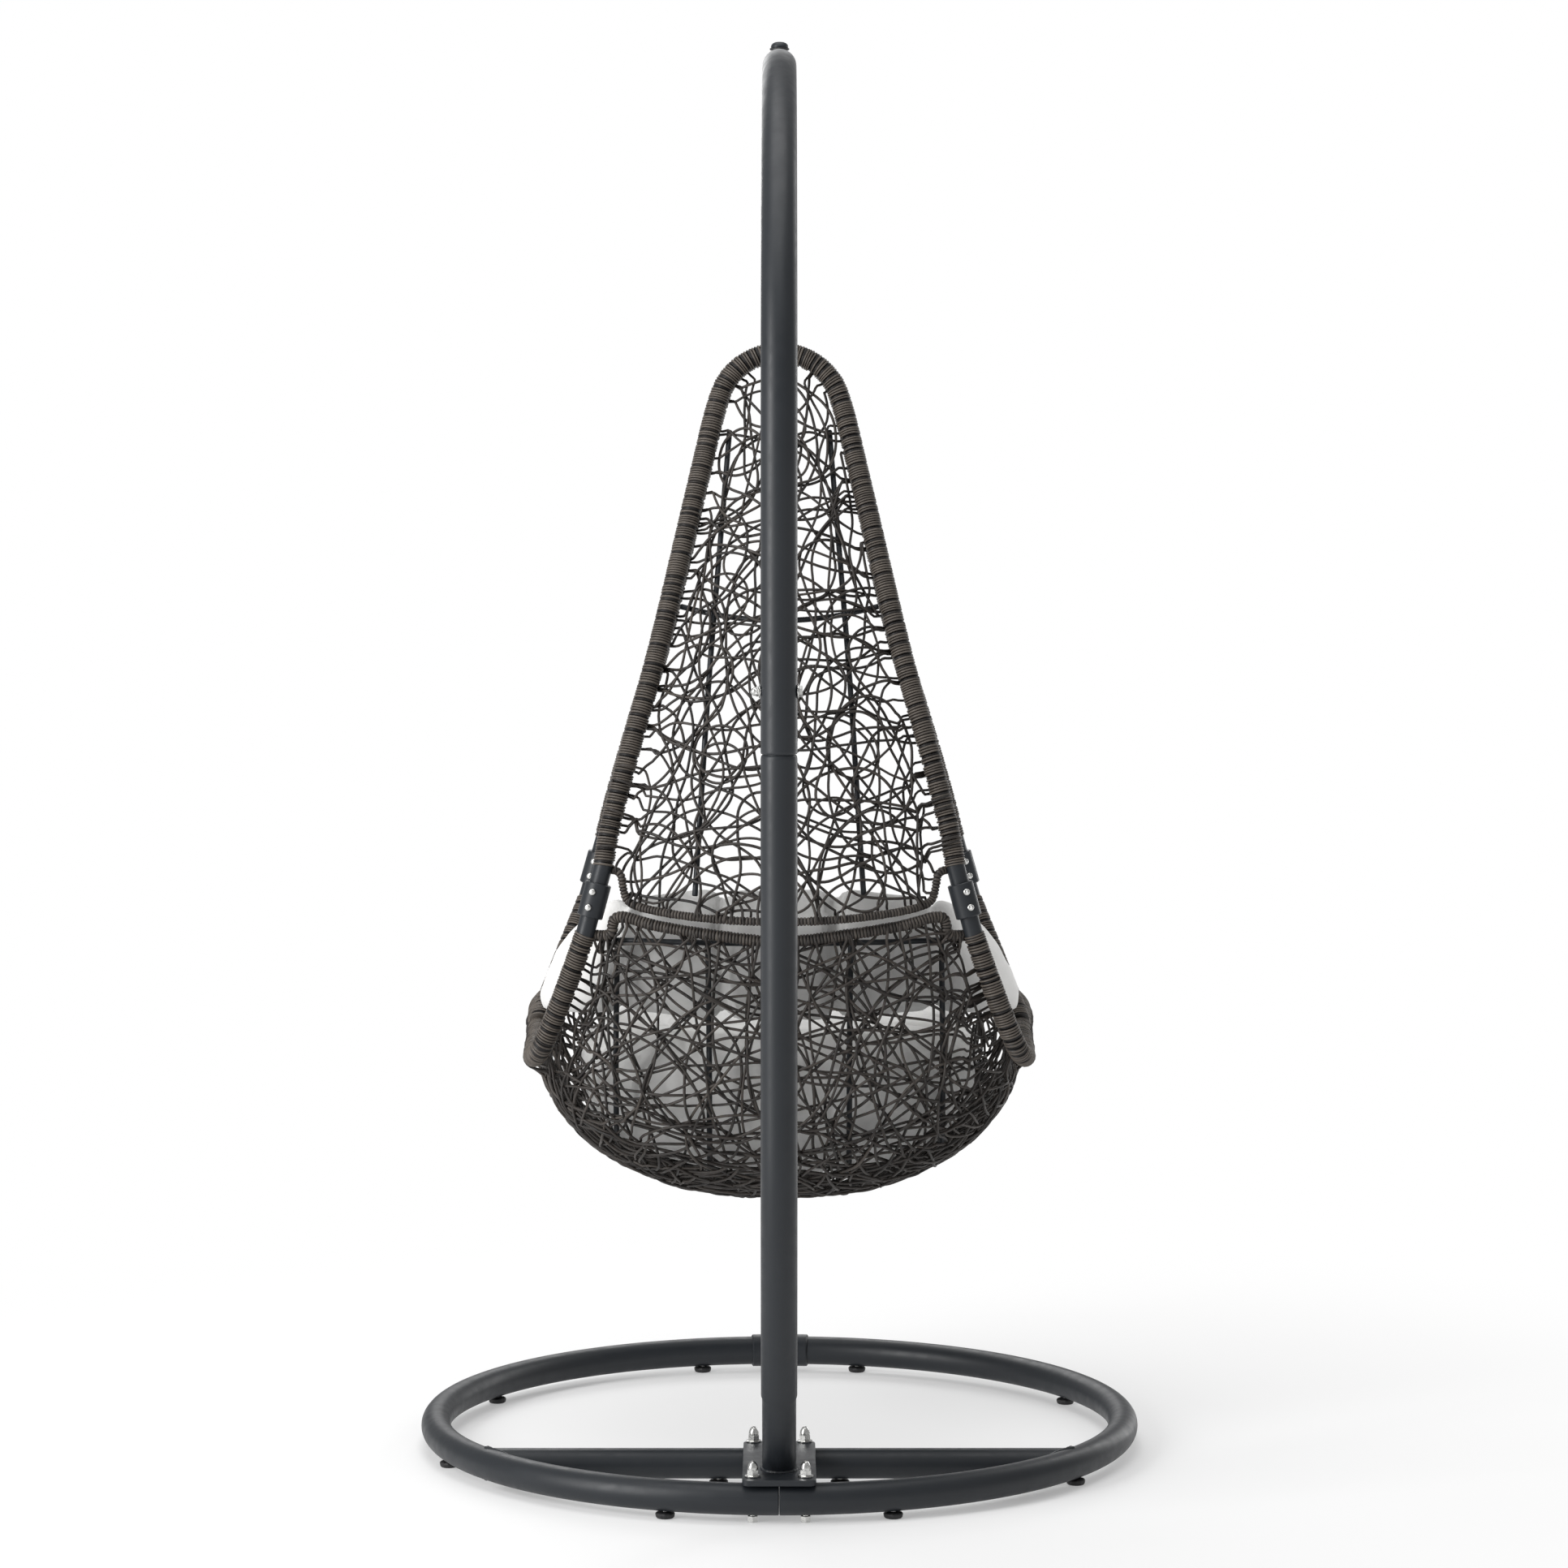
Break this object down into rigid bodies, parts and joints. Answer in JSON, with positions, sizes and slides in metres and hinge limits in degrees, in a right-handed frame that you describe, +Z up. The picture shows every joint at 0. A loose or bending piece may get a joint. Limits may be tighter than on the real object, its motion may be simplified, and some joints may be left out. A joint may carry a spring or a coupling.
{
  "type": "hanging egg chair",
  "caption": "Free-standing hanging egg chair: woven wicker seat with cushions, hung by a spring and swivel from a curved pole on a round tubular base.",
  "frame": {"origin": "on the floor at the centre of the footprint; the hanging point is 55 mm in front of it, over the ring's centre", "axes": "+Z up; +Y towards the pole, so the chair faces -Y; +X to the seated person's left"},
  "size_m": [1.022, 1.1372, 2.0015],
  "materials": {
    "powder_coat": "satin",
    "stainless": "satin",
    "wicker": "woven, matte",
    "cushion_fabric": "soft",
    "black_plastic": "matte"
  },
  "bodies": {
    "stand": {"base_half_left": "powder_coat", "base_half_right": "powder_coat", "front_joint_sleeve": "powder_coat", "sleeve_screw_left": "stainless", "sleeve_screw_right": "stainless", "pole_base": "powder_coat", "pole_lower": "powder_coat", "pole_upper": "powder_coat", "pole_end_cap": "black_plastic", "pole_cross_bolt": "stainless", "pole_cross_nut": "stainless", "base_bolt_1": "stainless", "base_bolt_2": "stainless", "base_bolt_3": "stainless", "base_bolt_4": "stainless", "cap_nut_1": "stainless", "cap_nut_2": "stainless", "cap_nut_3": "stainless", "cap_nut_4": "stainless", "eye_bolt": "stainless", "eye_bolt_washer": "black_plastic", "eye_bolt_cap_nut": "powder_coat"},
    "upper_link": {"top_link": "stainless"},
    "swivel_top": {"swivel_housing": "stainless"},
    "swivel_bottom": {"swivel_hook": "stainless", "spring": "stainless"},
    "chair": {"bottom_link": "stainless", "rear_hoop_upper": "wicker", "front_hoop_upper": "wicker", "lower_rim": "wicker", "front_leg_left": "wicker", "front_leg_right": "wicker", "joint_sleeve_rear_left": "powder_coat", "joint_sleeve_rear_right": "powder_coat", "joint_sleeve_front_left": "powder_coat", "joint_sleeve_front_right": "powder_coat", "joint_screw_rear_left_1": "stainless", "joint_screw_rear_left_2": "stainless", "joint_screw_rear_right_1": "stainless", "joint_screw_rear_right_2": "stainless", "joint_screw_front_left_1": "stainless", "joint_screw_front_left_2": "stainless", "joint_screw_front_right_1": "stainless", "joint_screw_front_right_2": "stainless", "back_weave": "wicker", "back_rib_frame": "powder_coat", "bowl_weave": "wicker", "bowl_rib_frame": "powder_coat", "seat_cushion": "cushion_fabric", "bolster_cushion": "cushion_fabric"},
    "levelling_foot_01": {"foot_01": "black_plastic"},
    "levelling_foot_02": {"foot_02": "black_plastic"},
    "levelling_foot_03": {"foot_03": "black_plastic"},
    "levelling_foot_04": {"foot_04": "black_plastic"},
    "levelling_foot_05": {"foot_05": "black_plastic"},
    "levelling_foot_06": {"foot_06": "black_plastic"},
    "levelling_foot_07": {"foot_07": "black_plastic"},
    "levelling_foot_08": {"foot_08": "black_plastic"},
    "levelling_foot_09": {"foot_09": "black_plastic"},
    "levelling_foot_10": {"foot_10": "black_plastic"}
  },
  "joints": [
    {"name": "swing_fore_aft", "type": "hinge", "parent": "stand", "child": "upper_link", "pos_m": [0, -0.055, 1.9095], "axis": [1, 0, 0], "range_deg": [-12, 5]},
    {"name": "swing_sideways", "type": "hinge", "parent": "upper_link", "child": "swivel_top", "pos_m": [0, -0.055, 1.858], "axis": [0, 1, 0], "range_deg": [-10, 10]},
    {"name": "turn", "type": "hinge", "parent": "swivel_top", "child": "swivel_bottom", "pos_m": [0, -0.055, 1.794], "axis": [0, 0, 1], "continuous": true},
    {"name": "bounce", "type": "slide", "parent": "swivel_bottom", "child": "chair", "axis": [0, 0, -1], "range_m": [0, 0.035], "stiffness_N_per_m": 27000, "springref_m": -0.012, "deforming": ["spring"]},
    {"name": "foot_01_screw", "type": "slide", "parent": "stand", "child": "levelling_foot_01", "axis": [0, 0, -1], "range_m": [0, 0.012]},
    {"name": "foot_02_screw", "type": "slide", "parent": "stand", "child": "levelling_foot_02", "axis": [0, 0, -1], "range_m": [0, 0.012]},
    {"name": "foot_03_screw", "type": "slide", "parent": "stand", "child": "levelling_foot_03", "axis": [0, 0, -1], "range_m": [0, 0.012]},
    {"name": "foot_04_screw", "type": "slide", "parent": "stand", "child": "levelling_foot_04", "axis": [0, 0, -1], "range_m": [0, 0.012]},
    {"name": "foot_05_screw", "type": "slide", "parent": "stand", "child": "levelling_foot_05", "axis": [0, 0, -1], "range_m": [0, 0.012]},
    {"name": "foot_06_screw", "type": "slide", "parent": "stand", "child": "levelling_foot_06", "axis": [0, 0, -1], "range_m": [0, 0.012]},
    {"name": "foot_07_screw", "type": "slide", "parent": "stand", "child": "levelling_foot_07", "axis": [0, 0, -1], "range_m": [0, 0.012]},
    {"name": "foot_08_screw", "type": "slide", "parent": "stand", "child": "levelling_foot_08", "axis": [0, 0, -1], "range_m": [0, 0.012]},
    {"name": "foot_09_screw", "type": "slide", "parent": "stand", "child": "levelling_foot_09", "axis": [0, 0, -1], "range_m": [0, 0.012]},
    {"name": "foot_10_screw", "type": "slide", "parent": "stand", "child": "levelling_foot_10", "axis": [0, 0, -1], "range_m": [0, 0.012]}
  ]
}
